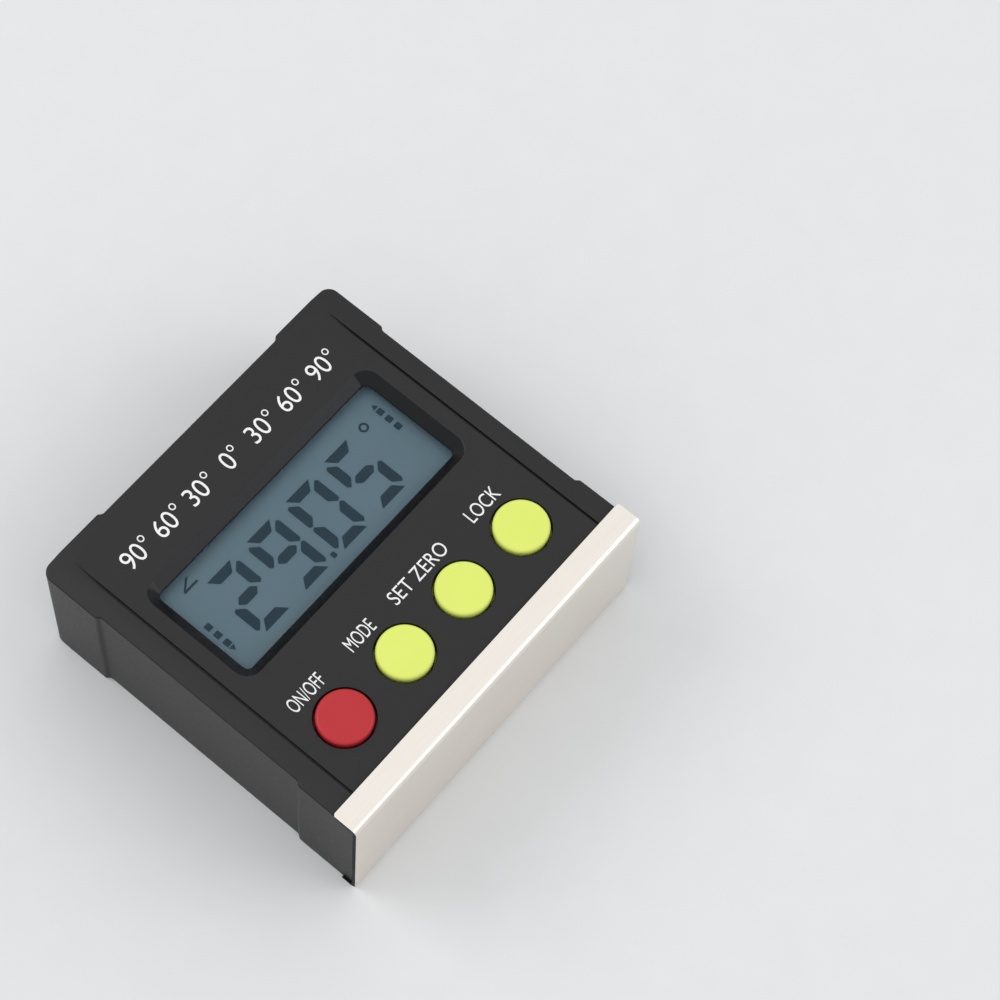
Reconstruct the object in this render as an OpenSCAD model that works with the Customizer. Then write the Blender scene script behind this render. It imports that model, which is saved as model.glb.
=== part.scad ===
// Digital angle gauge: a moulded housing with a display and four keys, on a folded steel base
// with magnets behind its measuring face. It lies on its back, as it is read on a bench.
// X runs along the base, Y up the display face and Z out of it.
// The origin is the middle of the footprint, on the plane of the rear rim.

/* [Base] */
// Thickness of the folded sheet
base_sheet = 0.6; // [0.4:0.1:1]
// How far the base stands past the housing at each end
base_overhang = 0.3; // [0:0.1:2]
// Width of the flange on the display face
front_flange = 3.8; // [2.6:0.1:5]
// Width of the flange on the rear face
rear_flange = 2.2; // [1.8:0.1:3.2]
// Inner radius of the two folds
fold_r = 0.3; // [0.1:0.1:0.6]
// How deep the front flange is let into the panel
flange_sink = 0.1; // [0:0.05:0.3]
// Corner radius at the ends of the front flange
flange_corner_r = 0.5; // [0.3:0.1:1.6]
// Length of each bar magnet
magnet_l = 18; // [10:0.5:20]
// Thickness of each bar magnet
magnet_t = 3; // [2:0.1:4]
// Width of each bar magnet
magnet_w = 12; // [6:0.5:14]
// Distance of each magnet's middle from the gauge's middle
magnet_x = 13; // [11:0.1:15]

/* [Housing] */
// Height from the measuring face to the top of the pads
gauge_h = 52.4; // [52:0.1:64]
// Side wall thickness
wall = 1.8; // [1.5:0.1:2.6]
// Front wall thickness
front_wall = 2; // [1.8:0.1:3]
// Thickness of the wall behind the magnets
base_skin = 1.2; // [0.8:0.1:2]
// Radius of the upright corners
corner_r = 1.6; // [1:0.1:4]
// How far the corner pads stand out of the walls
pad_step = 0.45; // [0.2:0.05:0.8]
// Length of the upper pads down the sides
pad_side = 9.3; // [6:0.1:14]
// Length of the upper pads along the top
pad_top = 10.4; // [6:0.1:16]
// Length of the lower pads up the sides, from the measuring face
pad_base = 9.7; // [6:0.1:14]
// Width of the sloped strip down each side of the panel
strip_w = 3.5; // [2.5:0.1:4.4]
// Fall of the strip from its groove to its outer edge
strip_drop = 0.5; // [0.1:0.1:0.9]
// Width of the groove beside each strip
groove_w = 0.4; // [0.2:0.05:0.6]
// Depth of the groove
groove_d = 0.5; // [0.15:0.05:0.6]
// Distance of the groove's upper end from the top
groove_end = 2.4; // [1:0.1:6]
// Length over which the groove runs out at its upper end
groove_ramp = 5; // [2:0.5:10]

/* [Display] */
// Width of the visible display
window_w = 39.6; // [30:0.1:40.6]
// Height of the visible display
window_h = 15.2; // [12:0.1:16]
// Distance of the display's upper edge from the top of the pads
window_down = 12.85; // [11.2:0.05:13.7]
// Width of the bezel's slope round the display
bezel_w = 1.5; // [0.8:0.1:1.7]
// Depth of the bezel
bezel_d = 1.3; // [0.8:0.1:1.4]
// Corner radius of the visible display
window_r = 0.8; // [0.2:0.1:1]
// Thickness of the clear window
lens_t = 0.9; // [0.7:0.1:1.4]
// How far the window reaches past the visible display
lens_margin = 1.5; // [1:0.1:1.8]
// Thickness of each of the display's two glasses
glass_t = 0.9; // [0.5:0.1:1.1]
// Width of the ledge on the display's long edges where its contacts lie
glass_ledge = 2; // [1.9:0.1:2.3]
// Wall thickness of the frame round the display
frame_wall = 1; // [0.6:0.1:1.2]
// Height of the rubber contact strips
strip_h = 2.9; // [2.5:0.1:4]
// Width of the rubber contact strips
strip_t = 1.5; // [1:0.1:1.7]

/* [Keys] */
// Diameter of the key caps
button_d = 7.4; // [6:0.1:8]
// Gap round a cap in its hole
button_gap = 0.3; // [0.1:0.05:0.4]
// Distance between neighbouring keys
button_pitch = 11.3; // [10.8:0.1:12.2]
// Height of the row of keys above the measuring face
button_up = 11; // [10.4:0.1:11.6]
// How far the caps stand out of the panel
button_proud = 0.6; // [0.4:0.1:2]
// Travel of a key
button_travel = 0.5; // [0.2:0.05:0.8]
// Radius of a cap's upper edge
button_edge_r = 0.45; // [0.2:0.05:0.6]
// Width of the collar that keeps a cap in
collar_w = 0.75; // [0.5:0.05:0.9]
// Thickness of that collar
collar_t = 0.9; // [0.6:0.1:1.2]
// Side of the square push switches
switch_side = 4.5; // [4:0.1:6]
// Diameter of a switch's plunger
plunger_d = 2.4; // [1.8:0.1:3]

/* [Board] */
// Thickness of the circuit board
board_t = 1.2; // [0.8:0.1:2]
// Gap between the board's edge and the walls
board_gap = 0.4; // [0.3:0.1:0.8]
// Diameter of the posts that the board is screwed to
boss_d = 3.8; // [3.2:0.1:4]
// Thread diameter of the board screws
board_screw_d = 1.6; // [1.4:0.1:1.8]

/* [Battery bay] */
// Distance of the middle of the bay from the top of the pads
bay_down = 21.7; // [20.4:0.1:22]
// Length of a battery spring as it is held
spring_l = 3.2; // [2.6:0.1:5]
// Wire diameter of the battery springs
spring_wire = 0.5; // [0.4:0.05:0.7]
// Thickness of the contact plates
plate_t = 0.4; // [0.3:0.1:0.8]
// Wall thickness at the long sides of the bay
tray_wall = 1.1; // [0.8:0.1:1.3]
// Thickness of the bay's floor
tray_t = 0.8; // [0.6:0.1:1.6]

/* [Rear] */
// Thickness of the rear cover
cover_t = 2.4; // [2.2:0.1:3]
// How far the rear cover lies inside the rear rim
cover_sink = 0.2; // [0.1:0.05:0.5]
// Width of the step in the walls that the rear cover rests in
cover_lip = 0.9; // [0.6:0.1:1]
// Thickness of the ledge under the battery door
ledge_t = 1.1; // [0.8:0.1:1.3]
// Width of that ledge
ledge_w = 1; // [0.7:0.1:1.3]
// Width of the door's hooks
hook_w = 6; // [4:0.5:9]
// Distance of each hook from the middle of the door
hook_x = 13; // [9:0.5:16]
// Width of the door's latch
latch_w = 9; // [6:0.5:14]
// Number of grip ribs on the door above its latch
rib_count = 4; // [2:1:6]
// Distance between neighbouring grip ribs
rib_pitch = 1.3; // [0.9:0.1:2]
// Radius of the finger hollow beside the latch
finger_r = 5; // [4:0.5:7]
// Depth of the finger hollow
finger_d = 0.9; // [0.4:0.1:1.2]
// Diameter of the posts that the cover is screwed to
post_d = 4.4; // [4:0.1:4.8]
// Thread diameter of the cover screws
cover_screw_d = 2; // [1.6:0.1:2.2]
// Length of a cover screw under its head
cover_screw_l = 6; // [4:0.5:9]

/* [Hidden] */
$fn = 64;
// Overlap of one cut or fused shape into the next
eps = 0.5;
// Segments round the corners of the bezel's cut
bezel_fn = 32;

// Standard AAA cell: diameter, length over the nub, and the nub itself
cell_d = 10.5;
cell_l = 44.5;
nub_d = 3.8;
nub_l = 0.8;
cell_edge_r = 0.5;
// Play round a cell, and its height over the door
cell_gap = 0.25;
cell_lift = 0.55;

// Named clearances
fit = 0.15;
door_fit = 0.05;
door_gap = 0.2;
door_sink = 0.15;
tray_lip = 0.5;
end_gap = 0.2;
tray_clear = 0.35;
lcd_gap = 0.1;
lens_stand = 0.5;
frame_fit = 0.2;
frame_side = 0.35;
collar_gap = 0.1;
switch_gap = 0.3;
plunger_fit = 0.05;
screw_fit = 0.03;
hole_fit = 0.15;
head_play = 0.2;
pocket_fit = 0.1;

// Battery bay
bay_half = (cell_l + spring_l) / 2;
bay_w = 2 * cell_d + 3 * cell_gap;
tray_half = bay_half + plate_t + tray_lip;

// Display pieces
lens_w = window_w + 2 * lens_margin;
lens_h = window_h + 2 * lens_margin;
glass_w = window_w + 2 * glass_ledge;
glass_h = window_h + 2 * glass_ledge;
frame_w = glass_w + 2 * (frame_fit + frame_wall);
frame_h = glass_h + 2 * (frame_fit + frame_wall);

// Across the gauge, as wide as the bay or the display's frame needs
cav_x = max(tray_half + end_gap, frame_w / 2 + frame_side);
housing_w = 2 * (cav_x + wall + pad_step);
base_l = housing_w + 2 * base_overhang;

// Up the face
y_face = -gauge_h / 2;
y_top = gauge_h / 2;
y_seat = y_face + base_sheet;
base_wall = magnet_t + pocket_fit + base_skin;
cav_y0 = y_seat + base_wall;
cav_y1 = y_top - pad_step - wall;
window_y = y_top - window_down - window_h / 2;
button_y = y_face + button_up;
bay_y = y_top - bay_down;

// Through the gauge, from the rear rim to the panel
z_cover_in = cover_sink + cover_t;
z_ledge = z_cover_in - ledge_t;
z_door_in = z_ledge - door_fit;
z_door_out = cover_sink + door_sink;
z_cell = z_door_in + cell_lift + cell_d / 2;
z_tray_in = z_cell + cell_d / 2 + cell_gap;
z_tray_out = z_tray_in + tray_t;
z_board = z_tray_out + tray_clear;
z_board_top = z_board + board_t;
z_glass = z_board_top + strip_h;
z_lcd_front = z_glass + glass_t;
z_lens = z_lcd_front + lcd_gap;
z_inner = z_lens + lens_stand;
z_panel = z_inner + front_wall;
z_flange = z_panel - flange_sink;
base_depth = z_flange + base_sheet;

// Keys, from left to right
button_x = [for (i = [0 : 3]) (i - 1.5) * button_pitch];
button_colours = ["#C23A3C", "#DCE870", "#DCE870", "#DCE870"];
collar_r = button_d / 2 + collar_w;
z_collar = z_inner - collar_gap - collar_t;
z_cap = z_panel + button_proud;
switch_h = z_collar - button_travel - switch_gap - z_board_top;
z_switch = z_board_top + switch_h;
plunger_in = 0.8;
plunger_floor = 0.1;
cap_wall = 1;
cap_top = 1.2;
core_r = button_d / 2 - cap_wall;

// Fastenings
post_inset = 2.65;
post_below_keys = 4.4;
upper_posts = [for (s = [-1, 1]) [s * (cav_x - post_inset), cav_y1 - post_inset]];
lower_posts = [for (s = [-1, 1]) [s * button_pitch, button_y - post_below_keys]];
posts = concat(upper_posts, lower_posts);
post_notch = post_d / 2 + board_gap;
upper_boss_x = 15;
upper_boss_inset = 3.7;
boss_gap = 0.14;
boss_reach = collar_r + boss_d / 2 + boss_gap;
boss_below_keys = sqrt(max(0, pow(boss_reach, 2) - pow(button_pitch / 2, 2)));
upper_bosses = [for (s = [-1, 1]) [s * upper_boss_x, cav_y1 - upper_boss_inset]];
bosses = concat(upper_bosses, [[0, button_y - boss_below_keys]]);
head_ratio = 1.9;
head_h_ratio = 0.65;
screw_bite = 3;
board_screw_l = board_t + screw_bite;
sink_d = 1.5;
pilot_spare = 0.8;

// Rear opening and battery door
open_end = 0.75;
open_side = 0.25;
open_x = bay_half - open_end;
open_y = bay_w / 2 - open_side;
door_x = open_x + ledge_w - door_gap;
door_y = open_y + ledge_w - door_gap;
hook_t = 0.7;
hook_gap = 0.3;
hook_reach = 0.9;
hook_h = 0.8;
latch_h = 1.75;
latch_gap = 0.35;
nose = 0.15;
slit_w = 0.6;
slit_l = 4;
rib_w = 0.6;
rib_h = 0.2;
rib_start = 1.4;

// Contacts
plate_in = 0.4;
tail_w = 2;
tail_over = 0.6;
plate_split = 1.5;
spring_turns = 3;
spring_r0 = 3.6;
spring_r1 = 2.4;
spring_sides = 8;
spring_steps = 16;
spring_gap = 0.02;

// Parts soldered in a row under the display: place along X, and size
chip_y = window_y;
controller_x = -8;
controller_size = [7.6, 5, 1.4];
sensor_x = 2;
sensor_size = [4, 4, 1.2];
crystal_x = 7;
crystal_size = [2.4, 5, 1.1];
capacitor_x = 11;
capacitor_size = [1.2, 2, 0.9];
capacitor_pitch = 2.4;
capacitor_count = 4;

// Rectangle about the origin with round corners
module round_rect(w, h, r) {
  square([w - 2 * r, h], center = true);
  square([w, h - 2 * r], center = true);
  for (sx = [-1, 1], sy = [-1, 1])
    translate([sx * (w / 2 - r), sy * (h / 2 - r)])
      circle(r);
}

// Plate with round corners, from its lower face
module round_plate(w, h, r, t) {
  linear_extrude(t)
    round_rect(w, h, r);
}

// Profile given across Y and Z, run along X about the middle
module along_x(length) {
  translate([-length / 2, 0, 0])
    rotate([90, 0, 90])
      linear_extrude(length)
        children();
}

// Profile given across X and Z, run along Y between two places
module along_y(y0, y1) {
  translate([0, y1, 0])
    rotate([90, 0, 0])
      linear_extrude(y1 - y0)
        children();
}

module both_sides() {
  children();
  mirror([1, 0, 0])
    children();
}

// Outline over the pads, with round corners at the top
module pad_limit() {
  translate([-housing_w / 2, y_seat])
    square([housing_w, y_top - corner_r - y_seat]);
  translate([-housing_w / 2 + corner_r, y_seat])
    square([housing_w - 2 * corner_r, y_top - y_seat]);
  for (s = [-1, 1])
    translate([s * (housing_w / 2 - corner_r), y_top - corner_r])
      circle(corner_r);
}

// Reach of the two pads on one side, each end sloping into the wall at 45 degrees
module pad_reach() {
  translate([-housing_w / 2, y_top])
    polygon([
      [-eps, eps],
      [pad_top - eps, eps],
      [pad_top + pad_step + eps, -pad_step - eps],
      [pad_step + eps, -pad_side - pad_step - eps],
      [-eps, -pad_side + eps]
    ]);
  translate([-housing_w / 2, y_face])
    polygon([
      [-eps, 0],
      [pad_step + eps, 0],
      [pad_step + eps, pad_base + pad_step + eps],
      [-eps, pad_base - eps]
    ]);
}

module housing_outline() {
  intersection() {
    pad_limit();
    union() {
      translate([-housing_w / 2 + pad_step, y_seat])
        square([housing_w - 2 * pad_step, y_top - pad_step - y_seat]);
      both_sides() pad_reach();
    }
  }
}

module cavity_outline(grow) {
  translate([-cav_x - grow, cav_y0 - grow])
    square([2 * (cav_x + grow), cav_y1 - cav_y0 + 2 * grow]);
}

// Sloped mouth of the display, from the visible edge up to the panel
module bezel_cut() {
  grow = 2 * bezel_w;
  translate([0, window_y, z_panel - bezel_d])
    hull() {
      round_plate(window_w, window_h, window_r, eps / 10, $fn = bezel_fn);
      translate([0, 0, bezel_d])
        round_plate(window_w + grow, window_h + grow, window_r + bezel_w, eps, $fn = bezel_fn);
    }
}

// Where the folded base lies against the housing, with the corners cut for its folds
module base_seat() {
  cut = fold_r + fit;
  along_x(base_l + 2 * eps) {
    translate([y_seat - eps, z_flange])
      square([front_flange - base_sheet + fit + eps, base_sheet + eps]);
    translate([y_seat - eps, -eps])
      square([rear_flange - base_sheet + fit + eps, base_sheet + eps]);
    translate([y_seat, z_flange])
      polygon([[-eps, eps], [cut, eps], [cut, 0], [0, -cut], [-eps, -cut]]);
    translate([y_seat, base_sheet])
      polygon([[-eps, -eps], [cut, -eps], [cut, 0], [0, cut], [-eps, cut]]);
  }
}

// Sloped strip and its groove on one side of the panel
module side_strip() {
  x_groove = housing_w / 2 - strip_w;
  slope = strip_drop / strip_w;
  along_y(y_seat - eps, y_top + eps)
    polygon([
      [x_groove, z_panel],
      [x_groove + strip_w + eps, z_panel - strip_drop - slope * eps],
      [x_groove + strip_w + eps, z_panel + eps],
      [x_groove, z_panel + eps]
    ]);
  translate([x_groove, 0, 0])
    along_x(groove_w)
      polygon([
        [y_seat - eps, z_panel + eps],
        [y_top - groove_end, z_panel + eps],
        [y_top - groove_end, z_panel],
        [y_top - groove_end - groove_ramp, z_panel - groove_d],
        [y_seat - eps, z_panel - groove_d]
      ]);
}

module front_housing() {
  color("#303031")
    difference() {
      union() {
        difference() {
          linear_extrude(z_panel)
            housing_outline();
          translate([0, 0, -eps])
            linear_extrude(z_inner + eps)
              cavity_outline(0);
          translate([0, 0, -eps])
            linear_extrude(z_cover_in + eps)
              cavity_outline(cover_lip);
        }
        for (p = posts)
          translate([p[0], p[1], z_cover_in])
            cylinder(d = post_d, h = z_inner + eps - z_cover_in);
        for (p = bosses)
          translate([p[0], p[1], z_board_top])
            cylinder(d = boss_d, h = z_inner + eps - z_board_top);
      }
      bezel_cut();
      translate([0, window_y, z_inner - eps])
        round_plate(window_w, window_h, window_r, front_wall + eps);
      translate([0, window_y, z_inner - eps])
        round_plate(lens_w + 2 * fit, lens_h + 2 * fit, window_r, lens_t - lens_stand + eps);
      for (x = button_x)
        translate([x, button_y, z_inner - eps])
          cylinder(d = button_d + 2 * button_gap, h = front_wall + 2 * eps);
      base_seat();
      both_sides() side_strip();
      for (s = [-1, 1])
        magnet_space(s, pocket_fit, eps);
      for (p = posts)
        translate([p[0], p[1], z_cover_in - eps])
          cylinder(d = cover_screw_d + 2 * screw_fit, h = cover_screw_l + pilot_spare + eps);
      for (p = bosses)
        translate([p[0], p[1], z_board_top - eps])
          cylinder(d = board_screw_d + 2 * screw_fit, h = screw_bite + pilot_spare / 2 + eps);
    }
}

// One magnet's block, or its pocket where it is grown and open to the base
module magnet_space(side, grow, open) {
  translate([
    side * magnet_x - magnet_l / 2 - grow,
    y_seat - open,
    z_panel / 2 - magnet_w / 2 - grow
  ])
    cube([magnet_l + 2 * grow, magnet_t + grow + open, magnet_w + 2 * grow]);
}

module magnet(side) {
  color("#8C8F93")
    magnet_space(side, 0, 0);
}

// Section of the folded sheet across the base
module base_section() {
  outer_r = fold_r + base_sheet;
  difference() {
    union() {
      translate([y_face + outer_r, 0])
        square([front_flange - outer_r, base_depth]);
      translate([y_face, outer_r])
        square([front_flange, base_depth - 2 * outer_r]);
      for (z = [outer_r, base_depth - outer_r])
        translate([y_face + outer_r, z])
          circle(outer_r);
    }
    translate([y_seat + fold_r, base_sheet])
      square([front_flange, base_depth - 2 * base_sheet]);
    translate([y_seat, base_sheet + fold_r])
      square([front_flange, base_depth - 2 * (base_sheet + fold_r)]);
    for (z = [base_sheet + fold_r, base_depth - base_sheet - fold_r])
      translate([y_seat + fold_r, z])
        circle(fold_r);
    translate([y_face + rear_flange, -eps])
      square([front_flange, base_depth / 2]);
  }
}

module base_channel() {
  color("#D9D6D1")
    intersection() {
      along_x(base_l)
        base_section();
      translate([0, 0, -eps])
        linear_extrude(base_depth + 2 * eps) {
          translate([-base_l / 2, y_face - eps])
            square([base_l, front_flange - flange_corner_r + eps]);
          translate([-base_l / 2 + flange_corner_r, y_face - eps])
            square([base_l - 2 * flange_corner_r, front_flange + eps]);
          for (s = [-1, 1])
            translate([s * (base_l / 2 - flange_corner_r), y_face + front_flange - flange_corner_r])
              circle(flange_corner_r);
        }
    }
}

module display_window() {
  color("#C9D2D0", 0.4)
    translate([0, window_y, z_lens])
      round_plate(lens_w, lens_h, window_r, lens_t);
}

// Front glass with a ledge behind each long edge, where the contact strips press
module lcd_panel() {
  color("#8A9A8E")
    translate([-glass_w / 2, window_y, z_glass]) {
      translate([0, -glass_h / 2, 0])
        cube([glass_w, glass_h, glass_t]);
      translate([0, -window_h / 2, -glass_t])
        cube([glass_w, window_h, glass_t]);
    }
}

module display_frame() {
  inner_w = frame_w - 2 * frame_wall;
  inner_h = frame_h - 2 * frame_wall;
  color("#3A3A3C")
    translate([0, window_y, z_board_top])
      linear_extrude(z_inner - collar_gap - z_board_top)
        difference() {
          square([frame_w, frame_h], center = true);
          square([inner_w, inner_h], center = true);
        }
}

module contact_strip(side) {
  color("#5C6570")
    translate([-window_w / 2, window_y + side * (glass_h - strip_t) / 2 - strip_t / 2, z_board_top])
      cube([window_w, strip_t, strip_h]);
}

module main_board() {
  x = cav_x - board_gap;
  y0 = cav_y0 + board_gap;
  y1 = cav_y1 - board_gap;
  color("#1F5B3A")
    translate([0, 0, z_board])
      linear_extrude(board_t)
        difference() {
          translate([-x, y0])
            square([2 * x, y1 - y0]);
          both_sides() {
            translate([upper_posts[1][0] - post_notch, upper_posts[1][1] - post_notch])
              square(post_inset + post_notch);
            translate([lower_posts[1][0] - post_notch, y0 - eps])
              square([2 * post_notch, lower_posts[1][1] + post_notch - y0 + eps]);
          }
          for (s = [-1, 1])
            translate([-x - eps, bay_y + s * (cell_d + cell_gap) / 2 - tail_w / 2 - fit])
              square([x - bay_half + fit + eps, tail_w + 2 * fit]);
          for (p = bosses)
            translate(p)
              circle(d = board_screw_d + 2 * hole_fit);
        }
}

module board_block(x, size, colour) {
  color(colour)
    translate([x - size[0] / 2, chip_y - size[1] / 2, z_board_top])
      cube(size);
}

module board_capacitors() {
  for (i = [0 : capacitor_count - 1])
    board_block(capacitor_x + i * capacitor_pitch, capacitor_size, "#B39A78");
}

// Cap turned about its own axis, cored from below round its pushing pin
module button_cap(i) {
  r = button_d / 2;
  cored = z_cap - cap_top - z_collar;
  color(button_colours[i])
    translate([button_x[i], button_y, z_collar])
      rotate_extrude()
        difference() {
          union() {
            square([collar_r, collar_t]);
            square([r, z_cap - button_edge_r - z_collar]);
            square([r - button_edge_r, z_cap - z_collar]);
            translate([r - button_edge_r, z_cap - button_edge_r - z_collar])
              intersection() {
                circle(button_edge_r);
                square(button_edge_r);
              }
          }
          translate([plunger_d / 2 + fit, -eps])
            square([core_r - plunger_d / 2 - fit, cored + eps]);
        }
}

module push_switch(i) {
  bore = plunger_in + button_travel + plunger_floor;
  color("#4A4B4D")
    translate([button_x[i], button_y, z_board_top])
      difference() {
        translate([-switch_side / 2, -switch_side / 2, 0])
          cube([switch_side, switch_side, switch_h]);
        translate([0, 0, switch_h - bore])
          cylinder(d = plunger_d + 2 * plunger_fit, h = bore + eps);
      }
}

module plunger(i) {
  color("#D8D6CF")
    translate([button_x[i], button_y, z_switch - plunger_in])
      cylinder(d = plunger_d, h = z_collar - z_switch + plunger_in);
}

// Slots in the bay's walls and floor that the contact plates slide into
module plate_slots() {
  half = bay_w / 2 + plate_in + fit;
  for (s = [-1, 1])
    translate([s * (bay_half + plate_t / 2) - plate_t / 2 - fit / 2, bay_y - half, z_cover_in])
      cube([plate_t + fit, 2 * half, z_tray_in + plate_in + fit / 2 - z_cover_in]);
  for (s = [-1, 1])
    translate([
      -bay_half - plate_t - fit / 2,
      bay_y + s * (cell_d + cell_gap) / 2 - tail_w / 2 - fit,
      z_tray_in - eps
    ])
      cube([plate_t + fit, tail_w + 2 * fit, tray_t + 2 * eps]);
}

module rear_cover() {
  color("#343436")
    difference() {
      union() {
        translate([0, 0, cover_sink])
          linear_extrude(cover_t)
            cavity_outline(cover_lip - fit);
        translate([-tray_half, bay_y - bay_w / 2 - tray_wall, z_cover_in - eps])
          cube([2 * tray_half, bay_w + 2 * tray_wall, z_tray_out - z_cover_in + eps]);
      }
      translate([-tray_half - eps, bay_y - bay_w / 2, z_cover_in])
        cube([2 * (tray_half + eps), bay_w, z_tray_in - z_cover_in]);
      translate([-open_x, bay_y - open_y, 0])
        cube([2 * open_x, 2 * open_y, z_cell]);
      translate([-open_x - ledge_w, bay_y - open_y - ledge_w, 0])
        cube([2 * (open_x + ledge_w), 2 * (open_y + ledge_w), z_ledge]);
      translate([0, bay_y - door_y, 0])
        cylinder(r = finger_r, h = cover_sink + finger_d);
      plate_slots();
      for (s = [-1, 1])
        translate([s * hook_x - hook_w / 2 - hook_gap, bay_y + open_y - eps, z_cover_in])
          cube([
            hook_w + 2 * hook_gap,
            bay_w / 2 - open_y + tray_wall + 2 * eps,
            2 * hook_gap + hook_h + eps
          ]);
      for (p = posts)
        translate([p[0], p[1], 0]) {
          cylinder(d = cover_screw_d + 2 * hole_fit, h = z_cover_in + eps);
          cylinder(d = cover_screw_d * head_ratio + 2 * head_play, h = cover_sink + sink_d);
        }
    }
}

// Door plate with two hooks at its upper edge and a springy latch at its lower one
module battery_door() {
  y_hook = bay_y + open_y - hook_gap;
  y_latch = bay_y - open_y + latch_gap;
  z_hook = z_cover_in + hook_gap;
  color("#38383A")
    difference() {
      union() {
        translate([-door_x, bay_y - door_y, z_door_out])
          cube([2 * door_x, 2 * door_y, z_door_in - z_door_out]);
        for (s = [-1, 1])
          translate([s * hook_x - hook_w / 2, 0, 0]) {
            translate([0, y_hook - hook_t, z_door_out + eps])
              cube([hook_w, hook_t, z_hook + hook_h - z_door_out - eps]);
            translate([0, y_hook - hook_t, z_hook])
              cube([hook_w, hook_t + hook_gap + hook_reach, hook_h]);
          }
        translate([-latch_w / 2, y_latch, z_door_out + eps])
          cube([latch_w, hook_t, z_door_in + latch_h - z_door_out - eps]);
        translate([0, y_latch, z_door_in + latch_h])
          along_x(latch_w)
            polygon([[0, 0], [eps, 0], [eps, -4 * nose], [0, -4 * nose], [-nose, -2 * nose]]);
        for (i = [0 : rib_count - 1])
          translate([0, bay_y - door_y + rib_start + i * rib_pitch, z_door_out])
            along_x(latch_w)
              polygon([[-rib_w / 2, eps], [-rib_w / 2, 0], [0, -rib_h], [rib_w / 2, 0], [rib_w / 2, eps]]);
      }
      for (s = [-1, 1])
        translate([s * (latch_w + slit_w) / 2 - slit_w / 2, bay_y - door_y - eps, 0])
          cube([slit_w, slit_l + eps, z_cover_in]);
    }
}

// Cell along X, with its nub towards the given side
module battery(row, side) {
  y = bay_y + row * (cell_d + cell_gap) / 2;
  r = cell_d / 2;
  can_l = cell_l - nub_l;
  color("#5B6A78")
    translate([side * bay_half, y, z_cell])
      rotate([0, -90 * side, 0]) {
        cylinder(d = nub_d, h = nub_l + eps);
        translate([0, 0, nub_l])
          rotate_extrude() {
            square([r - cell_edge_r, can_l]);
            translate([0, cell_edge_r])
              square([r, can_l - 2 * cell_edge_r]);
            for (z = [cell_edge_r, can_l - cell_edge_r])
              translate([r - cell_edge_r, z])
                intersection() {
                  circle(cell_edge_r);
                  translate([0, -cell_edge_r])
                    square([cell_edge_r, 2 * cell_edge_r]);
                }
          }
      }
}

// Contact plate standing in the bay's slots between two places across the bay
module contact_plate(side, y0, y1) {
  translate([side * (bay_half + plate_t / 2) - plate_t / 2, y0, z_cover_in + fit])
    cube([plate_t, y1 - y0, z_tray_in + plate_in - z_cover_in - fit]);
}

module bridge_contact() {
  color("#C9C9C4")
    contact_plate(1, bay_y - bay_w / 2 - plate_in, bay_y + bay_w / 2 + plate_in);
}

module end_contact(row) {
  y_in = bay_y + row * plate_split / 2;
  y_out = bay_y + row * (bay_w / 2 + plate_in);
  color("#C9C9C4") {
    contact_plate(-1, min(y_in, y_out), max(y_in, y_out));
    translate([
      -bay_half - plate_t,
      bay_y + row * (cell_d + cell_gap) / 2 - tail_w / 2,
      z_tray_in - eps
    ])
      cube([plate_t, tail_w, z_board_top + tail_over - z_tray_in + eps]);
  }
}

// Points of one ring of the spring's wire at a share of its length
function spring_ring(share) =
  let (
    angle = 360 * spring_turns * share,
    r = spring_r0 + (spring_r1 - spring_r0) * share,
    run = spring_l - spring_wire - 2 * spring_gap,
    out = [0, cos(angle), sin(angle)],
    along = [1, 0, 0],
    middle = out * r + along * (spring_wire / 2 + spring_gap + run * share)
  )
  [for (k = [0 : spring_sides - 1])
    let (turn = 360 * k / spring_sides)
    middle + spring_wire / 2 * (cos(turn) * out + sin(turn) * along)];

// Conical coil from a contact plate to the flat end of a cell
module coil(row, side) {
  rings = spring_turns * spring_steps;
  points = [for (i = [0 : rings]) each spring_ring(i / rings)];
  walls = [for (i = [0 : rings - 1], k = [0 : spring_sides - 1])
    let (
      a = i * spring_sides + k,
      b = i * spring_sides + (k + 1) % spring_sides
    )
    [a, b, b + spring_sides, a + spring_sides]];
  first = [for (k = [0 : spring_sides - 1]) spring_sides - 1 - k];
  last = [for (k = [0 : spring_sides - 1]) rings * spring_sides + k];
  color("#D2D0C8")
    translate([side * bay_half, bay_y + row * (cell_d + cell_gap) / 2, z_cell])
      rotate([0, 0, side > 0 ? 180 : 0])
        polyhedron(points, concat([first], walls, [last]));
}

// Pan-headed screw standing on its head, its thread upwards
module screw(d, length) {
  head_h = d * head_h_ratio;
  translate([0, 0, -head_h])
    cylinder(d = d * head_ratio, h = head_h);
  translate([0, 0, -eps])
    cylinder(d = d, h = length + eps);
}

module cover_screws() {
  color("#A9ABAD")
    for (p = posts)
      translate([p[0], p[1], cover_sink + sink_d])
        screw(cover_screw_d, cover_screw_l);
}

module board_screws() {
  color("#A9ABAD")
    for (p = bosses)
      translate([p[0], p[1], z_board])
        screw(board_screw_d, board_screw_l);
}

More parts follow.
